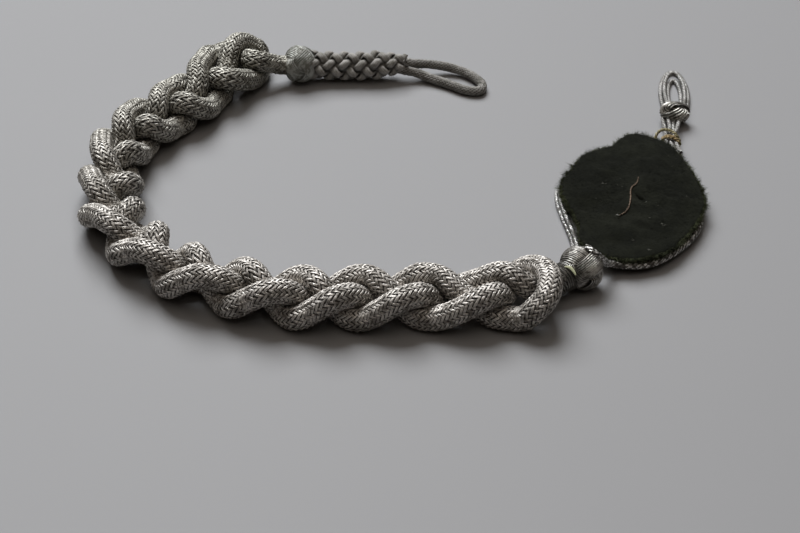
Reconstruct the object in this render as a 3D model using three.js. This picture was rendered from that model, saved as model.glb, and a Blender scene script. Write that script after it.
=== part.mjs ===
// Marksmanship lanyard lying on a flat surface, badge face down. Millimetres, +Z up.
// Origin: middle of the outline, on the surface. +X runs from the plait's bend towards the badge,
// +Y from the near stretch of the plait towards the shoulder end.
import * as THREE from 'three';

// Driving dimensions
const cordWide = 5.2;        // thick cord, pressed slightly flat where it lies in the plait
const cordHigh = 4.6;
const cordSides = 10;
const cordStep = 3.4;        // spacing of the cord's sections
const plaitRise = 2.9;       // how far a strand rises and falls about the plait's middle height
const plaitHeight = 6.05;    // middle height of the plait above the surface
const strandsInPlait = 3;
const strandGap = 0.4;       // clearance aimed at between two strands
const liftOff = 0.12;        // least clearance of the thick cord above the surface

// Settling of the strands on each other
const settleStep = 1.6;      // spacing of the points
const settleRounds = 120;
const sideways = 0.3;        // share of a push that may act across the slant
const recall = 0.02;         // pull back towards the drawn line, across the slant
const slantFrom = new THREE.Vector3(0.7, -430.2, 286.7);

const ballSides = 14;
const fullness = 0.6;        // below 1 the knots are fuller than a ball
const shoulderKnot = { x: -27.1, y: 52.9, z: 5.3, radius: 5.15, halfLength: 4.4, turn: 0 };
const badgeKnot = { x: 44.0, y: -43.8, z: 5.5, radius: 5.4, halfLength: 5.3, turn: 35 };
const ringKnot = { x: 74.8, y: 30.8, z: 2.75, radius: 2.6, halfLength: 4.2, turn: -12 };

const sinnet = {
  fromX: -22.4,
  toX: 0.9,
  y: 53.7,
  z: 4.45,
  radius: 3.9,
  knob: 0.4,
  knobsRound: 4,
  knobsAlong: 5,
  narrowing: 0.38,
  endRise: 0.7,
};
const loopCord = 2.7;        // diameter of the button loop's cord
const rimThick = 1.5;        // diameter of the cord round the badge's rim
const thinCord = 1.0;        // diameter of the cords beside the badge and above it
const threadThick = 0.6;

const badge = { x: 59.4, y: -11.0, thick: 3.0, inset: 0.88 };
const felt = { lift: 3.3, thick: 1.4, crown: 0.7, rings: 7, segments: 44 };

// One row for each lobe of the plait, from the badge end: the outer lobe's middle and the inner lobe's middle.
const lobes = [
  { outerX: 35.2, outerY: -62.2, innerX: 31.0, innerY: -48.6 },
  { outerX: 14.1, outerY: -61.7, innerX: 15.6, innerY: -49.0 },
  { outerX: -3.7, outerY: -61.5, innerX: 1.9, innerY: -50.6 },
  { outerX: -18.8, outerY: -60.9, innerX: -13.2, innerY: -51.3 },
  { outerX: -34.1, outerY: -56.5, innerX: -26.6, innerY: -51.7 },
  { outerX: -50.6, outerY: -49.4, innerX: -39.8, innerY: -48.6 },
  { outerX: -65.2, outerY: -37.6, innerX: -51.1, innerY: -41.7 },
  { outerX: -75.5, outerY: -22.2, innerX: -59.7, innerY: -31.7 },
  { outerX: -77.7, outerY: -4.7, innerX: -66.0, innerY: -20.9 },
  { outerX: -75.9, outerY: 12.4, innerX: -67.5, innerY: -9.3 },
  { outerX: -67.3, outerY: 27.3, innerX: -68.1, innerY: 5.6 },
  { outerX: -56.6, outerY: 40.3, innerX: -63.1, innerY: 17.3 },
  { outerX: -51.2, outerY: 56.1, innerX: -53.4, innerY: 28.3 },
  { outerX: -41.4, outerY: 59.4, innerX: -43.0, innerY: 41.4 },
];

// Routes of the thick cord where it leaves the regular plait, in the order in which the cord runs.
const neckRoute = [
  { x: 38.7, y: -47.5, z: 4.7 },
  { x: 37.5, y: -48.2, z: 3.8 },
  { x: 35.9, y: -49.1, z: 3.2 },
  { x: 33.1, y: -51.4, z: 4.6 },
  { x: 29.5, y: -53.3, z: 7.8 },
  { x: 25.3, y: -52.7, z: 9.4 },
];
const farBight = [
  { x: -40.7, y: 46.3, z: 4.4 },
  { x: -39.2, y: 53.1, z: 3.3 },
  { x: -38.9, y: 58.4, z: 3.4 },
  { x: -39.5, y: 60.7, z: 5.0 },
];
const nearBight = [
  { x: 27.4, y: -46.8, z: 4.2 },
  { x: 29.8, y: -44.2, z: 5.2 },
  { x: 32.8, y: -45.9, z: 7.2 },
  { x: 35.0, y: -50.9, z: 9.2 },
  { x: 35.6, y: -56.3, z: 9.7 },
  { x: 34.3, y: -60.0, z: 8.4 },
  { x: 31.7, y: -61.7, z: 6.2 },
];
const stemRoute = [
  { x: -46.9, y: 61.4, z: 4.6 },
  { x: -44.9, y: 60.3, z: 3.6 },
  { x: -42.2, y: 54.6, z: 5.6 },
  { x: -38.9, y: 49.4, z: 8.3 },
  { x: -35.3, y: 50.7, z: 6.9 },
  { x: -32.5, y: 51.7, z: 5.7 },
];

const buttonLoopRoute = [
  { x: 2.1, y: 55.5, z: 5.0 },
  { x: 4.9, y: 56.1, z: 4.1 },
  { x: 9.1, y: 57.3, z: 3.0 },
  { x: 13.7, y: 56.9, z: 2.2 },
  { x: 18.3, y: 55.1, z: 1.6 },
  { x: 21.7, y: 51.9, z: 1.4 },
  { x: 23.5, y: 47.9, z: 1.4 },
  { x: 22.7, y: 45.1, z: 1.4 },
  { x: 19.3, y: 45.2, z: 1.4 },
  { x: 13.4, y: 49.1, z: 1.4 },
  { x: 8.3, y: 51.8, z: 1.8 },
  { x: 4.9, y: 52.8, z: 2.7 },
  { x: 2.1, y: 52.7, z: 3.4 },
];

// Cords along the badge's edge, in the order in which each runs.
const rimRoute = [
  { x: 47.9, y: -35.5, z: 2.2 },
  { x: 50.1, y: -37.3, z: 2.1 },
  { x: 52.3, y: -38.7, z: 2.2 },
  { x: 55.3, y: -38.9, z: 2.3 },
  { x: 59.2, y: -38.6, z: 2.3 },
  { x: 62.7, y: -37.1, z: 2.3 },
  { x: 66.3, y: -34.2, z: 2.3 },
  { x: 69.6, y: -30.7, z: 2.2 },
  { x: 72.4, y: -26.9, z: 2.1 },
  { x: 74.6, y: -22.8, z: 2.0 },
  { x: 76.0, y: -17.8, z: 1.9 },
  { x: 76.6, y: -11.8, z: 1.8 },
  { x: 76.4, y: -5.3, z: 1.7 },
  { x: 75.6, y: 0.7, z: 1.6 },
];
const sideRoute = [
  { x: 43.3, y: -0.9, z: 1.0 },
  { x: 41.3, y: -3.9, z: 0.8 },
  { x: 40.9, y: -8.9, z: 0.8 },
  { x: 41.4, y: -13.4, z: 0.8 },
  { x: 42.1, y: -17.8, z: 0.8 },
  { x: 42.8, y: -21.8, z: 0.8 },
  { x: 43.4, y: -25.8, z: 0.8 },
  { x: 43.7, y: -29.8, z: 1.0 },
  { x: 43.9, y: -33.7, z: 1.6 },
  { x: 44.2, y: -36.7, z: 2.6 },
  { x: 44.2, y: -38.3, z: 3.5 },
];
// How far each side cord lies from the outermost one, and how far its two ends fall short of it.
const sideCords = [
  { inwards: 0, upwards: 0, short: 0, shortAtKnot: 0 },
  { inwards: 1.4, upwards: 0.1, short: 0.5, shortAtKnot: 0 },
  { inwards: 0.7, upwards: 1.35, short: 1.2, shortAtKnot: 0.35 },
];
// The legs between the ring knot and the badge: a middle line, with two cords below and two above it.
const legRoute = [
  { x: 73.5, y: 28.1, z: 2.2 },
  { x: 73.2, y: 23.6, z: 2.1 },
  { x: 72.4, y: 19.4, z: 2.1 },
  { x: 72.6, y: 15.9, z: 2.1 },
  { x: 73.4, y: 11.4, z: 2.0 },
];
const legSlant = 0.22;       // the legs start along the ring knot's slant
const legPlaces = [
  { spread: -2.0, upwards: -0.65, gather: -1.0 },
  { spread: -0.65, upwards: 0.65, gather: -0.35 },
  { spread: 0.65, upwards: -0.65, gather: 0.35 },
  { spread: 2.0, upwards: 0.65, gather: 1.0 },
];
const badgeLoop = { x: 76.3, y: 43.9, lean: 0.06, foot: 33.9 };
const badgeLoopCords = [
  { halfWide: 1.75, top: 51.5, height: 0.7 },
  { halfWide: 2.75, top: 53.8, height: 1.8 },
  { halfWide: 3.75, top: 56.0, height: 0.7 },
];
const bindings = { x: 72.1, y: 18.9, z: 2.25, halfWide: 3.45, halfHigh: 1.95, turn: -35, spacing: 1.1 };

// Outline of the cut felt about the badge's middle: direction in degrees and reach in millimetres.
const feltOutline = [
  { turn: 0, reach: 17.7 },
  { turn: 25, reach: 18.6 },
  { turn: 49, reach: 22.1 },
  { turn: 64, reach: 26.6 },
  { turn: 74, reach: 28.1 },
  { turn: 83, reach: 29.2 },
  { turn: 91, reach: 26.8 },
  { turn: 99, reach: 23.0 },
  { turn: 117, reach: 21.8 },
  { turn: 138, reach: 19.0 },
  { turn: 160, reach: 18.2 },
  { turn: 180, reach: 17.5 },
  { turn: 199, reach: 17.5 },
  { turn: 220, reach: 19.7 },
  { turn: 236, reach: 23.6 },
  { turn: 247, reach: 24.6 },
  { turn: 259, reach: 27.2 },
  { turn: 272, reach: 26.9 },
  { turn: 285, reach: 24.5 },
  { turn: 300, reach: 21.0 },
  { turn: 320, reach: 18.9 },
  { turn: 340, reach: 18.2 },
];

const materials = {
  thickWire: new THREE.MeshStandardMaterial({ color: 0x9b958c, roughness: 0.42, metalness: 0.8 }),
  thinWire: new THREE.MeshStandardMaterial({ color: 0x8f8a80, roughness: 0.48, metalness: 0.75 }),
  board: new THREE.MeshStandardMaterial({ color: 0x6f6b64, roughness: 0.6, metalness: 0.4 }),
  wool: new THREE.MeshStandardMaterial({ color: 0x1d211c, roughness: 0.98, metalness: 0.0 }),
  yellow: new THREE.MeshStandardMaterial({ color: 0xb28a3c, roughness: 0.7, metalness: 0.1 }),
};

const degrees = THREE.MathUtils.degToRad;
const lanyard = new THREE.Group();

function addPiece(name, geometry, material) {
  const mesh = new THREE.Mesh(geometry, material.clone());
  mesh.name = name;
  lanyard.add(mesh);
  return mesh;
}

function vectors(rows) {
  return rows.map((row) => new THREE.Vector3(row.x, row.y, row.z));
}

// A curve whose sections stay level: their first axis lies flat and their second axis points upwards.
class LevelCurve extends THREE.CatmullRomCurve3 {
  computeFrenetFrames(steps) {
    const frames = { tangents: [], normals: [], binormals: [] };
    for (let i = 0; i <= steps; i++) {
      const along = this.getTangentAt(i / steps);
      const across = new THREE.Vector3(0, 0, 1).cross(along).normalize();
      frames.tangents.push(along);
      frames.normals.push(across);
      frames.binormals.push(new THREE.Vector3().crossVectors(along, across));
    }
    return frames;
  }
}

function ovalShape(wide, high, sides) {
  const corners = [];
  for (let i = 0; i < sides; i++) {
    const turn = (2 * Math.PI * (i + 0.5)) / sides;
    corners.push(new THREE.Vector2((wide / 2) * Math.cos(turn), (high / 2) * Math.sin(turn)));
  }
  return new THREE.Shape(corners);
}

function cordGeometry(points, wide, high, sides, step) {
  const route = new LevelCurve(points);
  route.arcLengthDivisions = 8 * points.length;
  const steps = Math.max(4, Math.round(route.getLength() / step));
  return new THREE.ExtrudeGeometry(ovalShape(wide, high, sides), {
    steps,
    bevelEnabled: false,
    extrudePath: route,
  });
}

// The two edge rows of the plait, as curves whose parameter counts lobes.
function rowCurve(xColumn, yColumn) {
  const middles = lobes.map((lobe) => new THREE.Vector3(lobe[xColumn], lobe[yColumn], 0));
  return new THREE.CatmullRomCurve3(middles, false, 'catmullrom', 0.5);
}
const outerRow = rowCurve('outerX', 'outerY');
const innerRow = rowCurve('innerX', 'innerY');

function onRow(row, lobe) {
  const share = (lobe - 1) / (lobes.length - 1);
  return row.getPoint(THREE.MathUtils.clamp(share, 0, 1));
}

// A strand swings from the outer row at every third lobe to the inner row between them, and passes over one
// neighbour and under the other on the way.
function strandPoint(lobe, firstOuterLobe) {
  const phase = (2 * Math.PI * (lobe - firstOuterLobe)) / strandsInPlait;
  const inwards = (1 - Math.cos(phase)) / 2;
  const point = onRow(outerRow, lobe).lerp(onRow(innerRow, lobe + 0.5), inwards);
  point.z = plaitHeight - plaitRise * Math.sin(2 * phase);
  return point;
}

function strand(firstOuterLobe, from, to) {
  const points = [];
  const count = Math.round(Math.abs(to - from) * 4);
  for (let i = 0; i <= count; i++) {
    points.push(strandPoint(from + ((to - from) * i) / count, firstOuterLobe));
  }
  return points;
}

// Mean push on each point away from the strands that lie closer to it than a cord's thickness.
function pushesApart(points, wide, high) {
  const flatten = wide / high;
  const apart = Math.floor(11 / settleStep);
  const reach = wide + strandGap;
  const pushes = points.map(() => new THREE.Vector3());
  const counts = points.map(() => 0);
  for (let i = 0; i < points.length; i++) {
    for (let j = i + apart; j < points.length; j++) {
      const way = points[j].clone().sub(points[i]);
      way.z *= flatten;
      const distance = way.length();
      if (distance < reach) {
        const push = way.multiplyScalar((reach - distance) / (2 * distance));
        push.z /= flatten;
        pushes[j].add(push);
        pushes[i].sub(push);
        counts[j] += 1;
        counts[i] += 1;
      }
    }
  }
  return pushes.map((push, i) => push.divideScalar(Math.max(counts[i], 1)));
}

function smoothed(shifts) {
  return shifts.map((shift, i) => {
    if (i === 0 || i === shifts.length - 1) {
      return shift;
    }
    return shift.clone().multiplyScalar(2).add(shifts[i - 1]).add(shifts[i + 1]).divideScalar(4);
  });
}

// Strands that lie too close are eased apart, mostly along lines that slant down from a far point in front.
function settle(drawn, wide, high) {
  const points = drawn.map((point) => point.clone());
  for (let round = 0; round < settleRounds; round++) {
    const slants = points.map((point) => point.clone().sub(slantFrom).normalize());
    let shifts = pushesApart(points, wide, high).map((push, i) => {
      const along = slants[i].clone().multiplyScalar(push.dot(slants[i]));
      return along.lerp(push, sideways);
    });
    for (let pass = 0; pass < 3; pass++) {
      shifts = smoothed(shifts);
    }
    points.forEach((point, i) => {
      point.addScaledVector(shifts[i], 1.5);
      const home = drawn[i].clone().sub(point);
      home.addScaledVector(slants[i], -home.dot(slants[i]));
      point.addScaledVector(home, recall);
      const sunk = Math.max(high / 2 + liftOff - point.z, 0);
      point.addScaledVector(slants[i], sunk / slants[i].z);
    });
  }
  return points;
}

function plaitedCord() {
  const knots = [
    ...vectors(neckRoute),
    ...strand(3, 1.75, 13.25),
    ...vectors(farBight),
    ...strand(2, 14, 1.25),
    ...vectors(nearBight),
    ...strand(1, 1.25, 13),
    ...vectors(stemRoute),
  ];
  const laid = new THREE.CatmullRomCurve3(knots);
  laid.arcLengthDivisions = 8 * knots.length;
  const points = laid.getSpacedPoints(Math.round(laid.getLength() / settleStep));
  return cordGeometry(settle(points, cordWide, cordHigh), cordWide, cordHigh, cordSides, cordStep);
}

// A ball of interlaced bands: a turned barrel whose surface is raised where a band lies on another.
function knotBall(knot, bandsRound, bandRise) {
  const profile = [];
  const rows = 8;
  for (let i = 0; i <= rows; i++) {
    const latitude = Math.PI * (i / rows - 0.5);
    const radius = i === 0 || i === rows ? 0 : knot.radius * Math.cos(latitude) ** fullness;
    profile.push(new THREE.Vector2(radius, knot.halfLength * Math.sin(latitude)));
  }
  const geometry = new THREE.LatheGeometry(profile, ballSides);
  const place = geometry.attributes.position;
  for (let i = 0; i < place.count; i++) {
    const point = new THREE.Vector3().fromBufferAttribute(place, i);
    const around = Math.atan2(point.x, point.z);
    const along = point.y / knot.halfLength;
    const swell = Math.cos(bandsRound * around) * Math.cos(Math.PI * along) * (1 - along * along);
    const grow = 1 - (bandRise * (1 - swell)) / (2 * knot.radius);
    place.setXYZ(i, point.x * grow, point.y, point.z * grow);
  }
  geometry.rotateZ(-Math.PI / 2);
  geometry.rotateZ(degrees(knot.turn));
  geometry.translate(knot.x, knot.y, knot.z);
  return geometry;
}

// A tube-like body round the X axis from a radius function, closed by a point at each end.
function turnedBody(fromX, toX, rows, sides, radiusAt, heightAt) {
  const positions = [fromX, 0, heightAt(0)];
  const faces = [];
  for (let i = 0; i <= rows; i++) {
    for (let j = 0; j < sides; j++) {
      const turn = (2 * Math.PI * j) / sides;
      const radius = radiusAt(i / rows, turn);
      positions.push(
        fromX + ((toX - fromX) * i) / rows,
        radius * Math.cos(turn),
        heightAt(i / rows) + radius * Math.sin(turn),
      );
    }
  }
  const last = positions.length / 3;
  positions.push(toX, 0, heightAt(1));
  for (let j = 0; j < sides; j++) {
    const next = (j + 1) % sides;
    faces.push(0, 1 + next, 1 + j);
    for (let i = 0; i < rows; i++) {
      const low = 1 + i * sides;
      const high = low + sides;
      faces.push(low + j, low + next, high + j, low + next, high + next, high + j);
    }
    faces.push(last, last - sides + j, last - sides + next);
  }
  const geometry = new THREE.BufferGeometry();
  geometry.setAttribute('position', new THREE.Float32BufferAttribute(positions, 3));
  geometry.setIndex(faces);
  geometry.computeVertexNormals();
  return geometry;
}

function sinnetGeometry() {
  const { fromX, toX, y, z, radius, knob, knobsRound, knobsAlong, narrowing, endRise } = sinnet;
  const radiusAt = (share, turn) => {
    const pattern = Math.cos(knobsRound * turn) * Math.cos(2 * Math.PI * knobsAlong * share);
    const nearEnd = Math.max(1 - 5 * share, 4 * share - 3, 0);
    return (radius + knob * pattern) * (1 - narrowing * nearEnd);
  };
  const heightAt = (share) => endRise * Math.max(0, 4 * share - 3);
  const geometry = turnedBody(fromX, toX, 20, 16, radiusAt, heightAt);
  geometry.translate(0, y, z);
  return geometry;
}

function feltReach(turn) {
  const rows = feltOutline.length;
  const curve = new THREE.CatmullRomCurve3(
    feltOutline.map((row) => new THREE.Vector3(
      row.reach * Math.cos(degrees(row.turn)),
      row.reach * Math.sin(degrees(row.turn)),
      0,
    )),
    true,
  );
  const next = feltOutline.findIndex((row) => row.turn > turn);
  const after = next < 0 ? rows : next;
  const before = after - 1;
  const endTurn = after === rows ? 360 : feltOutline[after].turn;
  const share = (turn - feltOutline[before].turn) / (endTurn - feltOutline[before].turn);
  return curve.getPoint((before + share) / rows);
}

// The badge's plain base: a plate lying on the surface, a little smaller than the felt.
function badgeBase() {
  const corners = [];
  for (let j = 0; j < felt.segments; j++) {
    const edge = feltReach((360 * j) / felt.segments).multiplyScalar(badge.inset);
    corners.push(new THREE.Vector2(badge.x + edge.x, badge.y + edge.y));
  }
  return new THREE.ExtrudeGeometry(new THREE.Shape(corners), { depth: badge.thick, bevelEnabled: false });
}

// Height of the felt's upper face: lifted a little towards the middle, with soft folds.
function feltTop(share, turn) {
  const fold = 0.18 * Math.sin(3 * turn + 0.6) + 0.12 * Math.sin(5 * turn + 2.1);
  return felt.lift + felt.thick + felt.crown * (1 - share ** 2.5) + fold * Math.sin(Math.PI * share);
}

function feltBacking() {
  const { rings, segments, lift } = felt;
  const positions = [0, 0, feltTop(0, 0), 0, 0, lift];
  const faces = [];
  for (let j = 0; j < segments; j++) {
    const turn = (360 * j) / segments;
    const edge = feltReach(turn);
    for (let i = 1; i <= rings; i++) {
      const share = i / rings;
      positions.push(edge.x * share, edge.y * share, feltTop(share, degrees(turn)));
    }
    positions.push(edge.x, edge.y, lift);
  }
  const column = rings + 1;
  for (let j = 0; j < segments; j++) {
    const here = 2 + j * column;
    const next = 2 + ((j + 1) % segments) * column;
    faces.push(0, here, next);
    for (let i = 0; i < rings; i++) {
      faces.push(here + i, here + i + 1, next + i, here + i + 1, next + i + 1, next + i);
    }
    faces.push(here + rings, 1, next + rings);
  }
  const geometry = new THREE.BufferGeometry();
  geometry.setAttribute('position', new THREE.Float32BufferAttribute(positions, 3));
  geometry.setIndex(faces);
  geometry.translate(badge.x, badge.y, 0);
  geometry.computeVertexNormals();
  return geometry;
}

function thinCordGeometry(points, thick) {
  return cordGeometry(points, thick, thick, 8, 2.2 * thick);
}

function sideCord(row) {
  const points = vectors(sideRoute);
  points.forEach((point) => point.add(new THREE.Vector3(row.inwards, 0, row.upwards)));
  points[0].y -= row.short;
  points[points.length - 1].y += row.shortAtKnot;
  return thinCordGeometry(points, thinCord);
}

// The loop above the badge: nested oval bends of the same cord, open towards the ring knot.
function badgeLoopCord({ halfWide, top, height }) {
  const points = [];
  const count = 14;
  for (let i = 0; i <= count; i++) {
    const turn = degrees(-55 + (290 * i) / count);
    const reach = Math.sin(turn) > 0 ? top - badgeLoop.y : (badgeLoop.y - badgeLoop.foot) / 0.82;
    const along = reach * Math.sin(turn);
    const lift = 1.0 * Math.max(0, -Math.sin(turn)) ** 2;
    points.push(new THREE.Vector3(
      badgeLoop.x + halfWide * Math.cos(turn) + badgeLoop.lean * along,
      badgeLoop.y + along,
      height + lift,
    ));
  }
  return thinCordGeometry(points, thinCord);
}

function loopLeg({ spread, gather, upwards }) {
  const points = vectors(legRoute);
  points.forEach((point, i) => {
    const share = Math.min(1, i / 2);
    point.x += spread + (gather - spread) * share;
    point.z += upwards * (i === 0 ? 0.4 : 1);
  });
  points[0].y -= legSlant * spread;
  return thinCordGeometry(points, thinCord);
}

function bindingThread(index) {
  const { x, y, z, halfWide, halfHigh, turn, spacing } = bindings;
  const tube = threadThick / (2 * halfHigh);
  const geometry = new THREE.TorusGeometry(1, tube, 6, 18);
  geometry.scale(halfWide, halfHigh, threadThick / (2 * tube));
  geometry.rotateX(Math.PI / 2);
  geometry.rotateZ(degrees(turn));
  geometry.translate(x + 0.3 * index, y - spacing * index, z);
  return geometry;
}

addPiece('plaited_cord', plaitedCord(), materials.thickWire);
addPiece('shoulder_knot', knotBall(shoulderKnot, 4, 0.5), materials.thinWire);
addPiece('shoulder_sinnet', sinnetGeometry(), materials.thinWire);
addPiece('button_loop', thinCordGeometry(vectors(buttonLoopRoute), loopCord), materials.thinWire);
addPiece('badge_knot', knotBall(badgeKnot, 4, 0.5), materials.thinWire);
addPiece('badge_base', badgeBase(), materials.board);
addPiece('felt_backing', feltBacking(), materials.wool);
addPiece('rim_cord', thinCordGeometry(vectors(rimRoute), rimThick), materials.thinWire);
sideCords.forEach((row, i) => addPiece(`side_cord_${i + 1}`, sideCord(row), materials.thinWire));
badgeLoopCords.forEach((row, i) => {
  addPiece(`badge_loop_cord_${i + 1}`, badgeLoopCord(row), materials.thinWire);
});
addPiece('loop_knot', knotBall(ringKnot, 3, 0.3), materials.thinWire);
legPlaces.forEach((row, i) => addPiece(`loop_leg_${i + 1}`, loopLeg(row), materials.thinWire));
for (let i = 0; i < 2; i++) {
  addPiece(`binding_thread_${i + 1}`, bindingThread(i), materials.yellow);
}

export default lanyard;
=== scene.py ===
import math
import time

import bpy
import numpy as np
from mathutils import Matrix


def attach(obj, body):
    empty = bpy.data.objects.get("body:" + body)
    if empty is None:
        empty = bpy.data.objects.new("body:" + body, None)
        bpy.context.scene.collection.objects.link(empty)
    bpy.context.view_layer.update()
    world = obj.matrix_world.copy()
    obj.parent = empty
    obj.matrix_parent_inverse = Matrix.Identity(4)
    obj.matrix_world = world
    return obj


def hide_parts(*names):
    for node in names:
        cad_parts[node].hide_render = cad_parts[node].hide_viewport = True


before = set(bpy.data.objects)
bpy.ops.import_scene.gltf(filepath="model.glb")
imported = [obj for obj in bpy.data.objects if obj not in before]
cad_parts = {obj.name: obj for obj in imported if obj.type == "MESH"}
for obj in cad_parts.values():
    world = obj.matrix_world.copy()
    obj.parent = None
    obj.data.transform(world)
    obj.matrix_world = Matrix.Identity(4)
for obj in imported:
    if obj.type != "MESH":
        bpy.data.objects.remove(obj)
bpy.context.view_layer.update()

startTime = time.time()
scene = bpy.context.scene


def report(words):
    print(f"{time.time() - startTime:6.1f} s  {words}", flush=True)


# Camera: the photo's angle, 36 degrees above the surface
cameraData = bpy.data.cameras.new("camera")
cameraData.lens, cameraData.sensor_width, cameraData.clip_start = 90, 36, 0.01
camera = bpy.data.objects.new("camera", cameraData)
camera.location = (0.0007, -0.4302, 0.2867)
camera.rotation_euler = (math.radians(54), 0, 0)
scene.collection.objects.link(camera)
scene.camera = camera


# Lines, sections and meshes, all in millimetres until meshObject makes them metres
def curveThrough(points, perSpan=12, even=False):
    points = np.asarray(points, float)
    p = np.vstack([2 * points[0] - points[1], points, 2 * points[-1] - points[-2]])
    x0, x1, x2, x3 = p[:-3], p[1:-2], p[2:-1], p[3:]
    if even:
        leave, arrive = (x2 - x0) / 2, (x3 - x1) / 2
    else:
        root = np.maximum(np.linalg.norm(np.diff(p, axis=0), axis=1), 1e-6) ** 0.5
        d0, d1, d2 = root[:-2, None], root[1:-1, None], root[2:, None]
        leave = ((x1 - x0) / d0 - (x2 - x0) / (d0 + d1) + (x2 - x1) / d1) * d1
        arrive = ((x2 - x1) / d1 - (x3 - x1) / (d1 + d2) + (x3 - x2) / d2) * d1
    t = np.linspace(0, 1, perSpan, endpoint=False)[None, :, None]
    bend = (-3 * x1 + 3 * x2 - 2 * leave - arrive)[:, None]
    twist = (2 * x1 - 2 * x2 + leave + arrive)[:, None]
    line = x1[:, None] + leave[:, None] * t + bend * t ** 2 + twist * t ** 3
    return np.vstack([line.reshape(-1, points.shape[1]), points[-1]])


def lengthsAlong(line):
    return np.concatenate([[0], np.cumsum(np.linalg.norm(np.diff(line, axis=0), axis=1))])


# Rows of numbers that are known at some places, read at others
def readAt(wanted, places, rows):
    return np.stack([np.interp(wanted, places, rows[:, k]) for k in range(rows.shape[1])], -1)


def evenly(line, spacing):
    along = lengthsAlong(line)
    count = max(3, round(along[-1] / spacing))
    return readAt(np.linspace(0, along[-1], count + 1), along, line)


def smoothLine(points, spacing):
    return evenly(curveThrough(points), spacing)


# Each inner row drawn towards its two neighbours
def eased(rows):
    return (rows[:-2] + 2 * rows[1:-1] + rows[2:]) / 4


def unit(v):
    return v / np.maximum(np.linalg.norm(v, axis=-1, keepdims=True), 1e-12)


# The direction at an angle from the first way towards the second
def around(angle, first, second):
    return np.cos(angle)[..., None] * first + np.sin(angle)[..., None] * second


def wholeTurn(sides):
    return 2 * np.pi * np.arange(sides) / sides


# A band with the same section all along a line
def band(line, across, out, section):
    return line[:, None] + across[:, None] * section[None, :, :1] + out[:, None] * section[None, :, 1:]


# Two directions across a line that turn with it and don't spin about it
def framesAlong(line, first=(0, 0, 1)):
    along = unit(np.gradient(line, axis=0))
    up = np.empty_like(line)
    last = np.array(first, float)
    for i, tangent in enumerate(along):
        last = last - tangent * (last @ tangent)
        last = last / np.linalg.norm(last)
        up[i] = last
    return up, np.cross(along, up)


class Pile:
    def __init__(self):
        self.points, self.faces, self.uv, self.depth, self.count = [], [], [], [], 0

    # A grid of points: rows along the piece, columns across it, the surface facing across x along
    def grid(self, points, across, along, depth=0.0, closed=False):
        rows, columns = points.shape[:2]
        index = np.arange(rows * columns).reshape(rows, columns) + self.count
        if closed:
            index = np.hstack([index, index[:, :1]])
        quads = np.stack([index[:-1, :-1], index[:-1, 1:], index[1:, 1:], index[1:, :-1]], -1)
        self.faces.append(quads.reshape(-1, 4))
        self.points.append(points.reshape(-1, 3))
        field = np.zeros((rows, columns))
        uv = np.stack([field + across, field + np.asarray(along).reshape(rows, -1)], -1)
        self.uv.append(uv.reshape(-1, 2))
        self.depth.append((field + depth).reshape(-1))
        self.count += rows * columns
        return self

    def make(self, name, material):
        return meshObject(name, np.vstack(self.points), np.vstack(self.faces), material,
                          np.vstack(self.uv), np.concatenate(self.depth))


def meshObject(name, points, faces, material, uv=None, depth=None):
    mesh = bpy.data.meshes.new(name)
    mesh.vertices.add(len(points))
    mesh.vertices.foreach_set("co", (np.asarray(points) * 0.001).astype(np.float32).ravel())
    mesh.loops.add(faces.size)
    mesh.loops.foreach_set("vertex_index", faces.astype(np.int32).ravel())
    mesh.polygons.add(len(faces))
    mesh.polygons.foreach_set("loop_start", np.arange(0, faces.size, faces.shape[1], dtype=np.int32))
    mesh.polygons.foreach_set("use_smooth", np.ones(len(faces), bool))
    mesh.update(calc_edges=True)
    if uv is not None:
        layer = mesh.uv_layers.new(name="run")
        layer.data.foreach_set("uv", uv[faces.ravel()].astype(np.float32).ravel())
    if depth is not None:
        field = mesh.attributes.new("depth", "FLOAT", "POINT")
        field.data.foreach_set("value", np.asarray(depth, np.float32))
    made = bpy.data.objects.new(name, mesh)
    scene.collection.objects.link(made)
    mesh.materials.append(material)
    return made


# A round tube whose radius may change along it; both ends close to a small rounded tip
def tube(pile, line, radius, sides, turns=0.0):
    along = lengthsAlong(line)
    up, side = framesAlong(line)
    radius = np.broadcast_to(radius, (len(line),)).astype(float).copy()
    radius[[0, -1]] *= 0.25
    angle = wholeTurn(sides) + 2 * np.pi * turns * (along / along[-1])[:, None]
    points = line[:, None] + radius[:, None, None] * around(angle, side[:, None], up[:, None])
    pile.grid(points, np.arange(sides) / sides, along, closed=True)


# A thread of two strands laid round each other; loose makes them thicker or thinner along it
def twisted(line, look, loose=1.0):
    pile = Pile()
    along = lengthsAlong(line)
    up, side = framesAlong(line)
    ply = look["thick"] / 4
    for k in range(2):
        way = around(2 * np.pi * (along / look["lay"] + k / 2), side, up)
        tube(pile, line + way * ply, ply * loose, 7, turns=along[-1] / look["lay"])
    return pile


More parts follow.
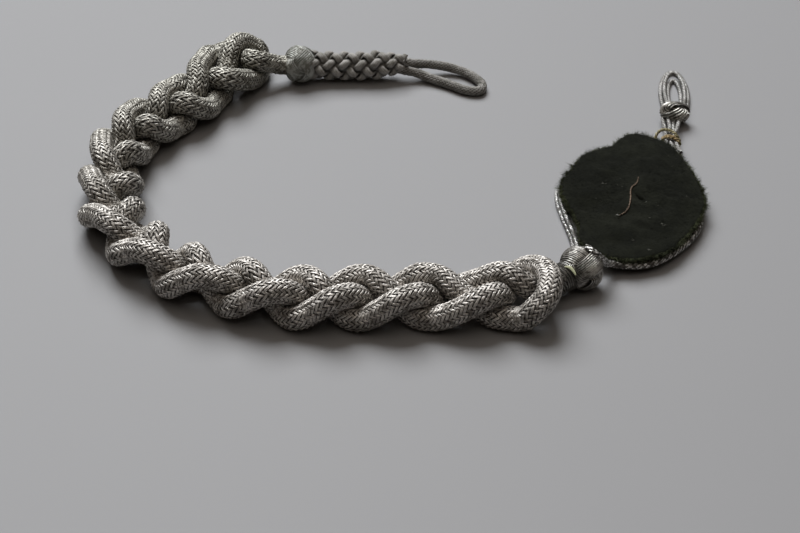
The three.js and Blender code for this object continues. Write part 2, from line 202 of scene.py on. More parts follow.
# A woven cover of flat bands on a line, half of them running each way round. Each band passes over as many
# crossings as it then passes under.
def weave(pile, line, frames, radiusAt, look, hand, crossings, seed):
    rng = np.random.default_rng(seed)
    along = lengthsAlong(line)
    up, side = frames
    carriers = look["carriers"]
    waves = carriers / (2 * crossings)
    zero = math.pi / carriers * (1 if crossings == 1 else 2)
    total = 2 * math.pi * along[-1] / look["lay"]
    beats, profile = np.array(look["beats"]), np.array(look["profile"])
    for k in range(carriers // 2):
        begin = 2 * math.pi * k / (carriers // 2) + (0 if hand > 0 else 2 * math.pi / carriers)
        low, high = (begin, begin + total) if hand > 0 else (begin - total, begin)
        counts = np.arange(math.floor((low - zero) * waves / (2 * math.pi)) - 1,
                           math.ceil((high - zero) * waves / (2 * math.pi)) + 1)
        turn = ((counts[:, None] + beats[None, :]) * 2 * math.pi / waves + zero).ravel()
        turn = turn[(turn >= low) & (turn <= high)]
        if hand < 0:
            turn = turn[::-1]
        s = abs(turn - begin) / (2 * math.pi) * look["lay"]
        wave = np.cos((turn - zero) * waves) * (1 if hand > 0 else -1)
        marks = np.arange(0, along[-1] + 9, 3)
        wander = np.interp(s, marks, rng.normal(0, 1, len(marks)))
        lift = look["rise"] * np.tanh(1.8 * wave) / math.tanh(1.8)
        u, v = unit(readAt(s, along, up)), unit(readAt(s, along, side))
        angle = turn + look["wander"] * wander
        out = around(angle, v, u)
        radius = radiusAt(s, angle) - look["rise"] + lift + look["uneven"] * wander
        path = readAt(s, along, line) + out * radius[:, None]
        heading = unit(np.gradient(path, axis=0))
        across = unit(np.cross(heading, out))
        points = band(path, across, np.cross(across, heading), profile * (look["band"] / 2, look["crown"]))
        pile.grid(points, (profile[:, 0] + 1) / 2 + k * 3, s, (lift / look["rise"])[:, None])


# Materials
def newMaterial(name, roughness, metallic):
    material = bpy.data.materials.new(name)
    material.use_nodes = True
    tree = material.node_tree
    shader = tree.nodes["Principled BSDF"]
    shader.inputs["Roughness"].default_value = roughness
    shader.inputs["Metallic"].default_value = metallic
    return material, tree, shader


# Gives an input another node's output, a number or a colour
def put(tree, socket, value):
    if isinstance(value, bpy.types.NodeSocket):
        tree.links.new(value, socket)
    else:
        socket.default_value = (*value, 1) if isinstance(value, tuple) else value


def addNode(tree, kind, **values):
    node = tree.nodes.new(kind)
    for key, value in values.items():
        if key in node.inputs:
            put(tree, node.inputs[key], value)
        else:
            setattr(node, key, value)
    return node


# The parts of the piece's own coordinates
def placeParts(tree, output="Object"):
    place = addNode(tree, "ShaderNodeTexCoord")
    return addNode(tree, "ShaderNodeSeparateXYZ", Vector=place.outputs[output]).outputs


def addTexture(tree, kind, **values):
    place = addNode(tree, "ShaderNodeTexCoord")
    return addNode(tree, kind, Vector=place.outputs["Object"], **values)


def maths(tree, operation, a, b=0.0):
    node = addNode(tree, "ShaderNodeMath", operation=operation)
    for socket, value in zip(node.inputs, (a, b)):
        put(tree, socket, value)
    return node.outputs[0]


def mixColours(tree, share, first, second, blend="MIX"):
    node = addNode(tree, "ShaderNodeMix", data_type="RGBA", blend_type=blend)
    for socket, value in zip((node.inputs[0], node.inputs[6], node.inputs[7]), (share, first, second)):
        put(tree, socket, value)
    return node.outputs[2]


def addRamp(tree, value, *stops):
    ramp = addNode(tree, "ShaderNodeValToRGB", Fac=value)
    for i, (position, colour) in enumerate(stops):
        ramp.color_ramp.elements[i].position = position
        ramp.color_ramp.elements[i].color = (*colour, 1)
    return ramp.outputs[0]


def addBump(tree, shader, height, distance, strength=1.0):
    bump = addNode(tree, "ShaderNodeBump", Strength=strength, Distance=distance, Height=height)
    put(tree, shader.inputs["Normal"], bump.outputs[0])


def openGroup(name, inputs):
    group = bpy.data.node_groups.new(name, "ShaderNodeTree")
    for label, value in inputs.items():
        socket = group.interface.new_socket(label, in_out="INPUT", socket_type="NodeSocketFloat")
        socket.default_value = value
    return group, addNode(group, "NodeGroupInput").outputs


def closeGroup(group, **results):
    for label in results:
        group.interface.new_socket(label, in_out="OUTPUT", socket_type="NodeSocketFloat")
    addNode(group, "NodeGroupOutput", **results)
    return group


# Fine wires side by side along a band: their rounding, painted shade in the lines between them and where the
# band passes under others, and the tarnish
def wireGroup():
    group, inside = openGroup("laid wires", {"Wires": 4.0, "Patch size": 0.004, "Groove": 2.6})
    run = addNode(group, "ShaderNodeUVMap", uv_map="run")
    split = addNode(group, "ShaderNodeSeparateXYZ", Vector=run.outputs[0])
    sway = addTexture(group, "ShaderNodeTexNoise", Scale=900.0, Detail=1.0)
    swayed = maths(group, "MULTIPLY", maths(group, "SUBTRACT", sway.outputs[0], 0.5), 0.25)
    count = maths(group, "MULTIPLY", split.outputs[0], inside["Wires"])
    phase = maths(group, "MULTIPLY", maths(group, "ADD", count, swayed), math.pi)
    rounding = maths(group, "ABSOLUTE", maths(group, "SINE", phase))
    gap = maths(group, "SUBTRACT", 1.0, maths(group, "MULTIPLY", rounding, inside["Groove"]))
    size = maths(group, "DIVIDE", 1.0, inside["Patch size"])
    patches = addTexture(group, "ShaderNodeTexNoise", Detail=4.0, Roughness=0.65, Scale=size)
    flecks = addTexture(group, "ShaderNodeTexVoronoi", Scale=1300.0)
    fleck = addNode(group, "ShaderNodeSeparateColor", Color=flecks.outputs["Color"])
    level = addNode(group, "ShaderNodeAttribute", attribute_name="depth")
    low = maths(group, "SUBTRACT", 0.35, level.outputs["Fac"])
    low = maths(group, "MINIMUM", maths(group, "MAXIMUM", low, 0.0), 1.0)
    return closeGroup(group, Height=maths(group, "POWER", rounding, 0.6), Low=low, Glint=fleck.outputs[0],
                      Gap=maths(group, "MAXIMUM", gap, 0.0), Tarnish=patches.outputs[0])


# Clouds of light and dark, each about one metre divided by the scale across
def cloudGroup():
    inputs = {"Scale": 1000.0, "Detail": 2.0, "Roughness": 0.5}
    group, inside = openGroup("cloud", inputs)
    noise = addTexture(group, "ShaderNodeTexNoise", **{name: inside[name] for name in inputs})
    return closeGroup(group, Share=noise.outputs[0])


wires = wireGroup()
clouds = cloudGroup()


def addCloud(tree, scale, detail=2.0, roughness=0.5):
    use = addNode(tree, "ShaderNodeGroup", node_tree=clouds, Scale=scale, Detail=detail,
                  Roughness=roughness)
    return use.outputs["Share"]


# A dull material of two colours in clouds; most is the largest share of the second
def cloudyMaterial(name, first, second, roughness, scale=1000.0, detail=2.0, fine=0.5, most=1.0,
                   relief=0.0):
    material, tree, shader = newMaterial(name, roughness, 0.0)
    cloud = addCloud(tree, scale, detail, fine)
    colour = mixColours(tree, maths(tree, "MULTIPLY", cloud, most), first, second)
    put(tree, shader.inputs["Base Color"], colour)
    if relief:
        addBump(tree, shader, cloud, relief * 0.001, 0.7)
    return material


# Relief is in millimetres and patch in metres; a small groove value makes wide lines of painted shade
# between the wires
def wireMaterial(name, bright, dark, wireCount, relief, roughness=0.36, metallic=0.88, patch=0.004,
                 speckle=0.4, groove=2.6, shade=0.16, darkened=None):
    material, tree, shader = newMaterial(name, roughness, metallic)
    use = addNode(tree, "ShaderNodeGroup", node_tree=wires, Wires=wireCount, Groove=groove,
                  **{"Patch size": patch})
    fleck = maths(tree, "MULTIPLY", maths(tree, "SUBTRACT", use.outputs["Glint"], 0.5), speckle)
    tone = maths(tree, "ADD", use.outputs["Tarnish"], fleck)
    # deep is the colour of painted shade, laid in the lines between the wires and where a band passes under
    # another
    deep = tuple(c * shade for c in dark)
    metal = addRamp(tree, tone, (0.34, dark), (0.6, bright))
    colour = mixColours(tree, maths(tree, "MULTIPLY", use.outputs["Gap"], 0.85), metal, deep)
    colour = mixColours(tree, maths(tree, "MULTIPLY", use.outputs["Low"], 0.8), colour, deep)
    # Painted shade: the colour is multiplied darker between two y values, lowering the far cords' brightness
    if darkened:
        share = addNode(tree, "ShaderNodeMapRange", Value=placeParts(tree)[1],
                        **{"From Min": darkened[0], "From Max": darkened[1]})
        shadedColour = mixColours(tree, 1.0, colour, darkened[2], "MULTIPLY")
        colour = mixColours(tree, share.outputs[0], colour, shadedColour)
    put(tree, shader.inputs["Base Color"], colour)
    rough = maths(tree, "MULTIPLY", tone, -0.35)
    put(tree, shader.inputs["Roughness"], maths(tree, "ADD", rough, roughness + 0.17))
    addBump(tree, shader, use.outputs["Height"], relief * 0.001)
    return material


# The surface and the light
floorLook = {"colour": (0.268, 0.266, 0.270), "roughness": 0.62, "side": 3.0}


def makeFloor():
    darker = tuple(c * 0.93 for c in floorLook["colour"])
    material = cloudyMaterial("pale surface", floorLook["colour"], darker, floorLook["roughness"], 6.0, 3.0,
                              most=0.5)
    corners = floorLook["side"] * 500 * np.array([[-1, -1, 0], [1, -1, 0], [1, 1, 0], [-1, 1, 0]])
    meshObject("floor", corners, np.array([[0, 1, 2, 3]]), material)


lightLook = {
    "window": {"power": 42.5, "size": 1.17, "place": (-0.32, 1.0, 1.4), "colour": (0.965, 0.99, 1.02)},
    "ceiling": {"power": 3.6, "size": 1.4, "place": (0.0, -0.35, 1.5), "colour": (1.0, 0.90, 0.80)},
    "sky": {"strength": 0.2, "low": (0.45, (0.085, 0.05, 0.03)), "high": (1.0, (1.0, 0.92, 0.82))},
}


def makeLight():
    for name in ("window", "ceiling"):
        look = lightLook[name]
        data = bpy.data.lights.new(name, "AREA")
        data.energy, data.size, data.color = look["power"], look["size"], look["colour"]
        lamp = bpy.data.objects.new(name, data)
        lamp.location = look["place"]
        x, y, z = look["place"]
        lamp.rotation_euler = (math.atan2(math.hypot(x, y), z), 0, math.atan2(x, -y))  # aimed at the object
        scene.collection.objects.link(lamp)
    world = bpy.data.worlds.new("room")
    world.use_nodes = True
    scene.world = world
    tree = world.node_tree
    background = tree.nodes["Background"]
    sky = lightLook["sky"]
    background.inputs["Strength"].default_value = sky["strength"]
    height = placeParts(tree, "Generated")[2]
    put(tree, background.inputs["Color"], addRamp(tree, height, sky["low"], sky["high"]))
    scene.view_settings.view_transform = "Standard"


makeFloor()
makeLight()
report("camera, surface and light")


# The thick cord: one piece that runs from the badge knot through the plait to the shoulder knot
# Its turns are laid for a cord of this width and height and press against each other at the true radius
plait = {
    "wide": 5.2, "high": 4.6, "rise": 2.9, "height": 6.05, "spacing": 1.6, "ownTurn": 11,
    "gap": 0.4, "lift": 0.12, "rounds": 120, "sideways": 0.3, "recall": 0.02,
    "radius": 3.08, "neck": 2.6, "stem": 2.75, "taper": 9, "step": 0.45,
    "badgeEnd": (42.2, -45.0, 5.3), "shoulderEnd": (-29.5, 52.4, 5.4),
}
# Outer and inner middle of each lobe, from the badge end: x, y, x, y
lobes = np.array([
    (35.2, -62.2, 31.0, -48.6), (14.1, -61.7, 15.6, -49.0), (-3.7, -61.5, 1.9, -50.6),
    (-18.8, -60.9, -13.2, -51.3), (-34.1, -56.5, -26.6, -51.7), (-50.6, -49.4, -39.8, -48.6),
    (-65.2, -37.6, -51.1, -41.7), (-75.5, -22.2, -59.7, -31.7), (-77.7, -4.7, -66.0, -20.9),
    (-75.9, 12.4, -67.5, -9.3), (-67.3, 27.3, -68.1, 5.6), (-56.6, 40.3, -63.1, 17.3),
    (-51.2, 56.1, -53.4, 28.3), (-41.4, 59.4, -43.0, 41.4)])
neckRoute = [(38.7, -47.5, 4.7), (37.5, -48.2, 3.8), (35.9, -49.1, 3.2), (33.1, -51.4, 4.6),
             (29.5, -53.3, 7.8), (25.3, -52.7, 9.4)]
farBight = [(-40.7, 46.3, 4.4), (-39.2, 53.1, 3.3), (-38.9, 58.4, 3.4), (-39.5, 60.7, 5.0)]
nearBight = [(27.4, -46.8, 4.2), (29.8, -44.2, 5.2), (32.8, -45.9, 7.2), (35.0, -50.9, 9.2),
             (35.6, -56.3, 9.7), (34.3, -60.0, 8.4), (31.7, -61.7, 6.2)]
stemRoute = [(-46.9, 61.4, 4.6), (-44.9, 60.3, 3.6), (-42.2, 54.6, 5.6), (-38.9, 49.4, 8.3),
             (-35.3, 50.7, 6.9), (-32.5, 51.7, 5.7)]


def strand(firstOuterLobe, start, stop):
    row = curveThrough(lobes, 40, even=True)
    lobe = np.linspace(start, stop, round(abs(stop - start) * 4) + 1)

    def onRow(at):
        return readAt(np.clip((at - 1) * 40, 0, len(row) - 1), np.arange(len(row)), row)

    phase = 2 * np.pi * (lobe - firstOuterLobe) / 3
    share = ((1 - np.cos(phase)) / 2)[:, None]
    flat = onRow(lobe)[:, :2] * (1 - share) + onRow(lobe + 0.5)[:, 2:] * share
    return np.column_stack([flat, plait["height"] - plait["rise"] * np.sin(2 * phase)])


# Strands that lie too close are eased apart, mostly along lines that slant down from the camera
def settle(drawn):
    wide, high, reach = plait["wide"], plait["high"], plait["wide"] + plait["gap"]
    squash = np.array([1, 1, wide / high])
    points = drawn.copy()
    eye = np.array(camera.location) * 1000
    first, second = np.triu_indices(len(points), int(plait["ownTurn"] / plait["spacing"]))
    for _ in range(plait["rounds"]):
        scaled = points * squash
        way = scaled[second] - scaled[first]
        apart = np.linalg.norm(way, axis=1)
        near = apart < reach
        push = (reach - apart[near])[:, None] * way[near] / apart[near][:, None] / 2 / squash
        shifts = np.zeros_like(points)
        counts = np.zeros(len(points))
        for index, sign in ((second[near], 1), (first[near], -1)):
            np.add.at(shifts, index, sign * push)
            np.add.at(counts, index, 1)
        shifts /= np.maximum(counts, 1)[:, None]
        slant = unit(points - eye)
        along = (shifts * slant).sum(1, keepdims=True) * slant
        shifts = along + (shifts - along) * plait["sideways"]
        for _ in range(3):
            shifts[1:-1] = eased(shifts)
        points += shifts * 1.5
        home = drawn - points
        points += (home - (home * slant).sum(1, keepdims=True) * slant) * plait["recall"]
        sunk = np.maximum(high / 2 + plait["lift"] - points[:, 2], 0)
        points += slant * (sunk / slant[:, 2])[:, None]
    return points


drawn = np.vstack([neckRoute, strand(3, 1.75, 13.25), farBight, strand(2, 14, 1.25), nearBight,
                   strand(1, 1.25, 13), stemRoute])
settled = settle(smoothLine(drawn, plait["spacing"]))
thickLine = np.vstack([[plait["badgeEnd"]], settled, [plait["shoulderEnd"]]])
thickLine = evenly(curveThrough(thickLine, 8), plait["step"])
thickAlong = lengthsAlong(thickLine)
thickUp, thickSide = framesAlong(thickLine)
report(f"thick cord laid, {thickAlong[-1]:.0f} mm")


# The cord's radius in each direction: it flattens where it is pressed against another turn or the surface
def pressedRadius(line, up, side, radius, sides=36):
    angle = wholeTurn(sides)
    field = np.repeat(radius[:, None], sides, 1)
    step = lengthsAlong(line)[-1] / (len(line) - 1)
    index = np.arange(len(line))
    for i in index:
        way = line - line[i]
        square = (way ** 2).sum(1)
        near = (square < (2.05 * plait["radius"]) ** 2) & (abs(index - i) * step > plait["ownTurn"])
        out = around(angle, side[i], up[i])
        if near.any():
            facing = out @ way[near].T
            limit = np.where(facing > 0.3, square[near] / np.maximum(2 * facing, 0.1), 99).min(1) - 0.06
            field[i] = np.minimum(field[i], limit)
        down = -out[:, 2]
        ground = np.where(down > 0.05, (line[i, 2] - 0.2) / np.maximum(down, 0.05), 99)
        field[i] = np.minimum(field[i], ground)
    for _ in range(2):
        field[1:-1] = eased(field)
        field = (np.roll(field, 1, 1) + 2 * field + np.roll(field, -1, 1)) / 4
    return field


fromStart, fromEnd = thickAlong, thickAlong[-1] - thickAlong
nearNeck = np.clip(1.4 - fromStart / plait["taper"], 0, 1)
nearStem = np.clip(1.6 - fromEnd / plait["taper"], 0, 1)
plainRadius = plait["radius"] + (plait["neck"] - plait["radius"]) * nearNeck
plainRadius += (plait["stem"] - plait["radius"]) * nearStem
pressed = pressedRadius(thickLine, thickUp, thickSide, plainRadius)


def onPressed(s, angle):
    sides = pressed.shape[1]
    row = np.clip(s / thickAlong[-1] * (len(pressed) - 1), 0, len(pressed) - 1.001)
    column = (angle / (2 * np.pi) * sides) % sides
    r, c = row.astype(int), column.astype(int)
    fr, fc = row - r, column - c
    low, high = (pressed[k, c % sides] * (1 - fc) + pressed[k, (c + 1) % sides] * fc for k in (r, r + 1))
    return low * (1 - fr) + high * fr


cordLook = {
    "carriers": 32, "lay": 17.6, "rise": 0.17, "band": 0.6, "crown": 0.1, "wander": 0.014, "uneven": 0.03,
    "beats": (-0.22, -0.1, 0.1, 0.22, 0.5),
    "profile": ((-1, -1.7), (0, 0.2), (1, -1.7)),
    "bright": (0.80, 0.76, 0.71), "dark": (0.31, 0.287, 0.258), "wires": 2, "relief": 0.09,
    "roughness": 0.62, "speckle": 0.36,
    # darkened is painted shade that darkens the cord towards the shoulder end
    "darkened": (-0.045, 0.04, (0.74, 0.755, 0.72)),  # towards the shoulder: from y, to y in metres, colour
}
braidSilver = wireMaterial("braided silver wire", cordLook["bright"], cordLook["dark"], cordLook["wires"],
                           cordLook["relief"], roughness=cordLook["roughness"], speckle=cordLook["speckle"],
                           darkened=cordLook["darkened"])
# The core is real, but its near-black colour is painted shade where it shows between the bands
shadedCore = wireMaterial("cord core", (0.10, 0.09, 0.08), (0.05, 0.045, 0.04), 30, 0.05, roughness=0.6,
                        metallic=0.3)


def keep(piece, slot, *nodes):
    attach(piece, "root")
    if nodes:
        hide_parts(*nodes)


def makeThickCord():
    angle = wholeTurn(20)
    out = around(angle, thickSide[:, None], thickUp[:, None])
    radius = onPressed(thickAlong[:, None], angle) - 2 * cordLook["rise"] - 0.1
    radius[[0, -1]] *= 0.2
    every = slice(None, None, 2)
    points = thickLine[:, None] + out * radius[..., None]
    core = Pile().grid(points[every], angle / (2 * np.pi), thickAlong[every], closed=True)
    cord = core.make("thick_cord", shadedCore)
    covers = []
    for name, hand in (("thick_cord_wires_right", 1), ("thick_cord_wires_left", -1)):
        pile = Pile()
        weave(pile, thickLine, (thickUp, thickSide), onPressed, cordLook, hand, 2, 5 + hand)
        covers.append(pile.make(name, braidSilver))
    keep(cord, "cord_braid", "plaited_cord")
    for cover in covers:
        keep(cover, "cord_braid")


makeThickCord()
report("thick cord covered")


def knotAxes(look):
    a = math.radians(look["turn"])
    return np.array([[math.cos(a), math.sin(a), 0], [-math.sin(a), math.cos(a), 0], [0, 0, 1.0]])


# Knots: a flat band of parallel wires that runs round a ball, over and under itself
def knotBand(look):
    rng = np.random.default_rng(look["seed"])
    leads, bights = look["leads"], look["bights"]
    steps = look["steps"] * leads
    t = np.linspace(0, 2 * np.pi * leads, steps + 1) + look["start"]
    theta = bights * t / leads
    latitude = np.cos(theta) * look["swing"]
    axis, first, second = knotAxes(look)
    circle = around(t, first, second)
    reach = look["radius"] * np.cos(latitude) ** look["fullness"]
    flat = np.sin(latitude)[:, None] * look["halfLength"] * axis
    ball = flat + reach[:, None] * circle
    out = unit(flat / look["halfLength"] ** 2 + reach[:, None] * circle / look["radius"] ** 2)
    wave = np.tanh(1.5 * np.sin((leads - 1) * theta)) / math.tanh(1.5)
    path = ball + out * (look["rise"] * (wave - 1))[:, None]
    heading = unit(np.gradient(path, axis=0))
    heading[0] = heading[-1] = unit(heading[0] + heading[-1])
    across = unit(np.cross(heading, out))
    along = lengthsAlong(path)
    pile = Pile()
    wire = look["band"] / look["wires"] / 2
    bow = np.linspace(-1, 1, 5) * np.pi / 2
    section = np.stack([np.sin(bow) * wire, (np.cos(bow) - 1) * wire], 1)
    for k in range(look["wires"]):
        offset = (k - (look["wires"] - 1) / 2) * 2 * wire
        stray = np.interp(along, np.linspace(0, along[-1], 40), rng.normal(0, look["stray"], 40))
        stray[-1] = stray[0]
        w = offset + stray
        sink = 1.1 * w ** 2 / (2 * look["radius"])
        sink += look["edgeDrop"] * (abs(offset) / look["band"] * 2) ** 3
        middle = path + across * w[:, None] - out * sink[:, None]
        points = band(middle, across, out, section)
        pile.grid(look["centre"] + points, np.linspace(0, 1, 5) + k, along, (wave * 0.5 + 0.5)[:, None])
    return pile


# The ball of packed cord under the bands, a little smaller
def knotCore(look):
    shrink = look["rise"] * 2.2
    latitude = np.linspace(-np.pi / 2, np.pi / 2, 15)
    angle = wholeTurn(24)
    axis, first, second = knotAxes(look)
    reach = np.maximum(np.cos(latitude), 0.001) ** look["fullness"] * (look["radius"] - shrink)
    ring = around(angle, first, second)
    run = np.sin(latitude) * (look["halfLength"] - shrink)
    points = look["centre"] + run[:, None, None] * axis + reach[:, None, None] * ring
    return Pile().grid(points, angle / (2 * np.pi), latitude, closed=True)


# Leads are strands side by side and bights the turns at each end; lengths in millimetres
shoulderKnot = {"centre": (-27.1, 52.9, 5.3), "turn": 0, "radius": 5.15, "halfLength": 4.4,
                "fullness": 0.6, "leads": 3, "bights": 4, "swing": 0.98, "rise": 0.27, "band": 4.6,
                "wires": 9, "steps": 110, "start": 0.4, "stray": 0.03, "edgeDrop": 0.12, "seed": 3}
badgeKnot = {**shoulderKnot, "centre": (44.0, -43.8, 5.5), "radius": 5.4, "halfLength": 5.3,
             "swing": 1.02, "rise": 0.33, "band": 5.0, "wires": 11, "steps": 120, "start": 0.2,
             "edgeDrop": 0.22, "seed": 4}
ringKnot = {"centre": (74.8, 30.6, 3.15), "turn": -12, "radius": 3.1, "halfLength": 4.4,
            "fullness": 0.7, "leads": 2, "bights": 3, "swing": 0.8, "rise": 0.5, "band": 3.9,
            "wires": 6, "steps": 70, "start": 1.1, "stray": 0.05, "edgeDrop": 0.2, "seed": 6}
bandSilver = wireMaterial("laid silver wire", (0.56, 0.54, 0.50), (0.23, 0.218, 0.195), 1, 0.14,
                          roughness=0.42, metallic=0.85, patch=0.003, speckle=0.5, groove=1.12, shade=0.1)
loopSilver = wireMaterial("greyed silver cord", (0.60, 0.585, 0.56), (0.25, 0.24, 0.22), 2, 0.06,
                          roughness=0.5, metallic=0.6, speckle=0.35)
sparklingSilver = wireMaterial("sparkling silver cord", (0.90, 0.885, 0.85), (0.16, 0.15, 0.135), 2, 0.06,
                               roughness=0.42, metallic=0.8, speckle=0.75)
agedBand = wireMaterial("dulled laid wire", (0.50, 0.505, 0.47), (0.25, 0.25, 0.22), 1, 0.05,
                        roughness=0.55, metallic=0.6, groove=1.9)
agedSilver = wireMaterial("dulled silver wire", (0.40, 0.385, 0.36), (0.25, 0.24, 0.215), 4, 0.06,
                          roughness=0.8, metallic=0.1, speckle=0.25, shade=0.5)
knots = {"shoulder_knot": (shoulderKnot, agedBand), "badge_knot": (badgeKnot, bandSilver),
         "loop_knot": (ringKnot, bandSilver)}


def makeKnots():
    for node, (look, material) in knots.items():
        keep(knotBand(look).make(node + "_bands", material), "wire_band", node)
        keep(knotCore(look).make(node + "_core", shadedCore), "wire_band")


makeKnots()
report("knots")


# The round sinnet at the shoulder: eight cords, over one and under one
sinnet = {"carriers": 8, "lay": 17.6, "rise": 0.75, "band": 2.05, "crown": 0.9, "wander": 0.05,
          "uneven": 0.08, "beats": np.linspace(-0.42, 0.5, 12), "radius": 4.1, "ends": 0.38,
          "coreGap": 2.0, "facing": (0, 0.233, 0.972),  # a row of knobs faces the camera
          "profile": [(math.sin(a), math.cos(a) - 1) for a in np.linspace(-1.5, 1.5, 9)]}
sinnetRoute = [(-24.6, 53.5, 4.9), (-20, 53.6, 4.5), (-10, 53.7, 4.3), (-3, 53.9, 4.6), (2.2, 54.3, 5.1)]


def makeSinnet():
    line = smoothLine(sinnetRoute, 0.5)
    along = lengthsAlong(line)
    frames = framesAlong(line, sinnet["facing"])

    def radiusAt(s, angle):
        share = s / along[-1]
        narrow = np.clip(3.6 * share - 2.6, 0, 1)
        return sinnet["radius"] * (1 - sinnet["ends"] * narrow) + 0 * angle

    pile = Pile()
    for hand in (1, -1):
        weave(pile, line, frames, radiusAt, sinnet, hand, 1, 12 + hand)
    cords = pile.make("shoulder_sinnet_cords", agedSilver)
    core = Pile()
    tube(core, line, radiusAt(along, along) - sinnet["coreGap"], 14)
    keep(cords, "wire_band", "shoulder_sinnet")
    keep(core.make("shoulder_sinnet_core", agedSilver), "wire_band")


makeSinnet()
report("sinnet")


# Thin cords, each with a fine woven cover on a dark core
def thinLook(cord):
    size = cord["diameter"]
    return {"carriers": cord["carriers"], "lay": size * cord.get("lay", 4.2), "rise": size * 0.06,
            "band": math.pi * size / cord["carriers"] * cord.get("cover", 0.95), "crown": size * 0.06,
            "wander": 0.04, "uneven": size * 0.018, "beats": (-0.2, 0.0, 0.2, 0.5),
            "profile": ((-1, -1.6), (0, 0.2), (1, -1.6))}


def thinCord(name, points, cord, node, material, spacing=0.3):
    look, diameter = thinLook(cord), cord["diameter"]
    line = smoothLine(points, spacing)
    frames = framesAlong(line)
    core = Pile()
    tube(core, line, diameter / 2 - 1.9 * look["rise"] - 0.02, 10)
    inner = core.make(name, shadedCore)
    cover = Pile()

    def radiusAt(s, angle):
        return diameter / 2 + 0 * s

    for hand in (1, -1):
        weave(cover, line, frames, radiusAt, look, hand, 1, len(name) + hand)
    woven = cover.make(name + "_wires", material)
    keep(inner, "wire_band", node)
    keep(woven, "wire_band")


# Lay is in diameters for a full turn; cover is how much of the surface the bands hide
buttonLoop = {"diameter": 2.7, "carriers": 16, "lay": 3.0}
buttonRoute = [(0.2, 55.2, 5.0), (2.1, 55.0, 4.7), (4.9, 55.1, 4.2), (9.1, 56.4, 3.2), (13.7, 56.7, 2.2),
               (18.3, 55.1, 1.6), (21.7, 51.9, 1.4), (23.5, 47.9, 1.4), (22.7, 45.1, 1.4), (19.3, 45.2, 1.4),
               (13.4, 49.1, 1.4), (8.3, 51.8, 1.8), (4.9, 52.8, 2.7), (2.1, 52.7, 3.4), (0.2, 52.9, 3.8)]
rimCord = {"diameter": 1.9, "carriers": 10, "lay": 4.0, "cover": 0.84}
rimRoute = [(45.0, -42.2, 10.5), (46.1, -43.6, 10.6), (47.4, -44.5, 9.9), (48.9, -43.7, 8.1),
            (50.2, -41.0, 5.0), (52.0, -39.1, 3.3), (55.3, -38.9, 2.6), (59.2, -38.6, 2.4),
            (62.7, -37.1, 2.3), (66.3, -34.2, 2.3), (69.6, -30.7, 2.2), (72.4, -26.9, 2.1),
            (74.6, -22.8, 2.0), (76.0, -17.8, 1.9), (76.6, -11.8, 1.8), (76.4, -5.3, 1.7), (75.6, 0.7, 1.6)]
sideCord = {"diameter": 1.1, "carriers": 8}
sideRoute = [(43.3, -0.9, 1.0), (41.3, -3.9, 0.8), (40.9, -8.9, 0.8), (41.4, -13.4, 0.8), (42.1, -17.8, 0.8),
             (42.8, -21.8, 0.8), (43.4, -25.8, 0.8), (43.7, -29.8, 1.0), (43.9, -33.7, 1.6),
             (44.2, -36.7, 2.6), (44.3, -39.0, 4.0)]
# Each side cord: inwards, upwards, cut shorter at the top
sidePlaces = [(-0.25, 0, 0), (1.0, 0.1, 0.5), (0.4, 1.2, 1.2)]
badgeLoop = {"x": 76.3, "y": 43.9, "lean": 0.06, "foot": 33.9, "diameter": 1.25, "carriers": 8}
# Each cord of the loop: half width, top, height
badgeLoopCords = [(1.75, 51.5, 0.7), (2.75, 53.8, 1.8), (3.75, 56.0, 0.7)]
legCord = {"diameter": 1.2, "carriers": 8}
legRoute = [(73.6, 29.6, 2.4), (73.5, 28.1, 2.2), (73.2, 23.6, 2.1), (72.4, 19.4, 2.1), (72.6, 15.9, 2.1),
            (73.4, 11.4, 2.0)]
# Each leg: sideways at the knot, upwards, sideways at the felt
legPlaces = [(-2.0, -0.65, -1.0), (-0.65, 0.65, -0.35), (0.65, -0.65, 0.35), (2.0, 0.65, 1.0)]


def makeThinCords():
    thinCord("button_loop_cord", buttonRoute, buttonLoop, "button_loop", agedSilver, 0.4)
    thinCord("rim_cord_core", rimRoute, rimCord, "rim_cord", sparklingSilver)
    for i, (inwards, upwards, short) in enumerate(sidePlaces):
        points = np.array(sideRoute) + (inwards, 0, upwards)
        points[0, 1] -= short
        thinCord(f"side_cord_core_{i + 1}", points, sideCord, f"side_cord_{i + 1}", sparklingSilver)
    for i, (halfWide, top, height) in enumerate(badgeLoopCords):
        turn = np.radians(np.linspace(-62, 242, 19))
        below = (badgeLoop["y"] - badgeLoop["foot"]) / 0.82
        reach = np.where(np.sin(turn) > 0, top - badgeLoop["y"], below)
        run = reach * np.sin(turn)
        lift = np.maximum(0, -np.sin(turn)) ** 2
        points = np.stack([badgeLoop["x"] + halfWide * np.cos(turn) + badgeLoop["lean"] * run,
                           badgeLoop["y"] + run, height + lift], 1)
        thinCord(f"badge_loop_core_{i + 1}", points, badgeLoop, f"badge_loop_cord_{i + 1}", loopSilver)
    for i, (spread, upwards, gather) in enumerate(legPlaces):
        points = np.array(legRoute)
        share = np.clip((np.arange(len(points)) - 1) / 2, 0, 1)
        points[:, 0] += spread + (gather - spread) * share
        points[:, 2] += upwards * np.where(share == 0, 0.4, 1)
        points[:2, 1] -= 0.22 * spread
        thinCord(f"loop_leg_core_{i + 1}", points, legCord, f"loop_leg_{i + 1}", loopSilver)


makeThinCords()
report("thin cords")


